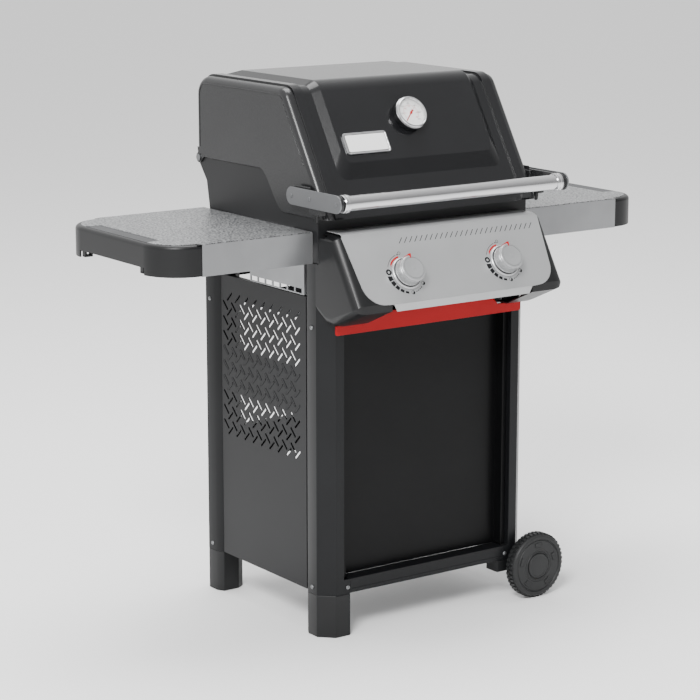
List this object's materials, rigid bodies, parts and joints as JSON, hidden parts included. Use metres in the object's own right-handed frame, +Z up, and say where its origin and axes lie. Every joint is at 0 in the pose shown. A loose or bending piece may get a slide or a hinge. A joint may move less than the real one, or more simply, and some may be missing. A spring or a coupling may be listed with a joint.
{
  "type": "gas barbecue grill",
  "caption": "Gas grill on a wheeled sheet-steel cart, with a hinged lid, sloping control panel with knobs, grates over tube burners, a sliding grease tray and side tables with rounded end caps.",
  "frame": {"origin": "on the ground, under the centre of the whole grill", "axes": "+X to the right of a person facing the knobs, +Y to the back, +Z up"},
  "size_m": [1.21, 0.6236, 1.118],
  "materials": {
    "cart_steel": "satin powder coat",
    "black_steel": "satin powder coat",
    "cap_plastic": "fine-grained moulded plastic",
    "wheel_plastic": "moulded plastic",
    "knob_plastic": "metallic-look satin plastic",
    "fastener": "bright zinc plate",
    "bare_steel": "zinc-plated steel",
    "casting": "painted die casting",
    "brass": "machined",
    "burner_steel": "stainless tube",
    "ceramic": "glazed ceramic insulator",
    "enamel_bar": "porcelain enamel",
    "grate_iron": "porcelain-enamelled cast iron",
    "tray_steel": "aluminised steel",
    "foil": "pressed foil",
    "red_paint": "satin red paint",
    "fascia_steel": "satin silver paint",
    "lid_enamel": "glossy porcelain enamel",
    "lid_casting": "satin painted die casting",
    "handle_steel": "polished stainless steel",
    "bracket_metal": "satin silver",
    "bezel_metal": "satin chrome",
    "lens": "clear glass",
    "badge_metal": "satin plate",
    "table_steel": "light metallic hammertone"
  },
  "bodies": {
    "grill": {"leg_front_left": "cart_steel", "leg_front_right": "cart_steel", "leg_rear_left": "cart_steel", "leg_rear_right": "cart_steel", "foot_front_left": "cap_plastic", "foot_rear_left": "cap_plastic", "axle_bracket_front": "cap_plastic", "axle_bracket_rear": "cap_plastic", "side_panel_left": "cart_steel", "side_panel_right": "cart_steel", "front_panel": "black_steel", "front_rail": "cart_steel", "rear_rail": "black_steel", "front_top_rail": "cart_steel", "rear_top_rail": "cart_steel", "cart_screws": "fastener", "axle": "bare_steel", "cookbox": "casting", "manifold": "bare_steel", "valve_left": "brass", "valve_right": "brass", "knob_bezels": "knob_plastic", "burner_left": "burner_steel", "burner_right": "burner_steel", "igniters": "ceramic", "heat_bars": "enamel_bar", "grate_left": "grate_iron", "grate_right": "grate_iron", "tray_runners": "tray_steel", "control_fascia": "fascia_steel", "control_cap_left": "cap_plastic", "control_cap_right": "cap_plastic", "hinge_pins": "fastener", "table_left": "table_steel", "table_right": "table_steel", "table_cap_left": "cap_plastic", "table_cap_right": "cap_plastic", "table_brackets": "table_steel"},
    "lid": {"lid_shell": "lid_enamel", "lid_cap_left": "lid_casting", "lid_cap_right": "lid_casting", "handle_tube": "handle_steel", "handle_bracket_left": "bracket_metal", "handle_bracket_right": "bracket_metal", "handle_rivets": "fastener", "thermometer_case": "bezel_metal", "thermometer_lens": "lens", "badge_plate": "badge_metal"},
    "needle": {"thermometer_pointer": "red_paint"},
    "front_wheel": {"wheel_front": "wheel_plastic", "hub_cap_front": "wheel_plastic"},
    "rear_wheel": {"wheel_rear": "wheel_plastic", "hub_cap_rear": "wheel_plastic"},
    "left_stem": {"valve_stem_left": "brass"},
    "left_knob": {"knob_left": "knob_plastic"},
    "right_stem": {"valve_stem_right": "brass"},
    "right_knob": {"knob_right": "knob_plastic"},
    "tray": {"grease_tray": "tray_steel", "tray_front": "red_paint", "drip_pan": "foil"}
  },
  "joints": [
    {"name": "lid_hinge", "type": "hinge", "parent": "grill", "child": "lid", "pos_m": [0, 0.263, 0.937], "axis": [-1, 0, 0], "range_deg": [0, 88]},
    {"name": "thermometer_turn", "type": "hinge", "parent": "lid", "child": "needle", "pos_m": [0, -0.10856, 1.03977], "axis": [0, 0.8526, -0.5225], "range_deg": [0, 270]},
    {"name": "front_wheel_spin", "type": "hinge", "parent": "grill", "child": "front_wheel", "pos_m": [0.2725, -0.207, 0.071], "axis": [0, 1, 0], "continuous": true},
    {"name": "rear_wheel_spin", "type": "hinge", "parent": "grill", "child": "rear_wheel", "pos_m": [0.2725, 0.297, 0.071], "axis": [0, 1, 0], "continuous": true},
    {"name": "left_knob_push", "type": "slide", "parent": "grill", "child": "left_stem", "axis": [0, 0.8545, -0.5195], "range_m": [0, 0.004], "stiffness_N_per_m": 1500, "springref_m": -0.002},
    {"name": "left_knob_turn", "type": "hinge", "parent": "left_stem", "child": "left_knob", "pos_m": [-0.123, -0.27323, 0.75327], "axis": [0, -0.8545, 0.5195], "range_deg": [0, 200]},
    {"name": "right_knob_push", "type": "slide", "parent": "grill", "child": "right_stem", "axis": [0, 0.8545, -0.5195], "range_m": [0, 0.004], "stiffness_N_per_m": 1500, "springref_m": -0.002},
    {"name": "right_knob_turn", "type": "hinge", "parent": "right_stem", "child": "right_knob", "pos_m": [0.123, -0.27323, 0.75327], "axis": [0, -0.8545, 0.5195], "range_deg": [0, 200]},
    {"name": "tray_slide", "type": "slide", "parent": "grill", "child": "tray", "axis": [0, -1, 0], "range_m": [0, 0.35]}
  ]
}
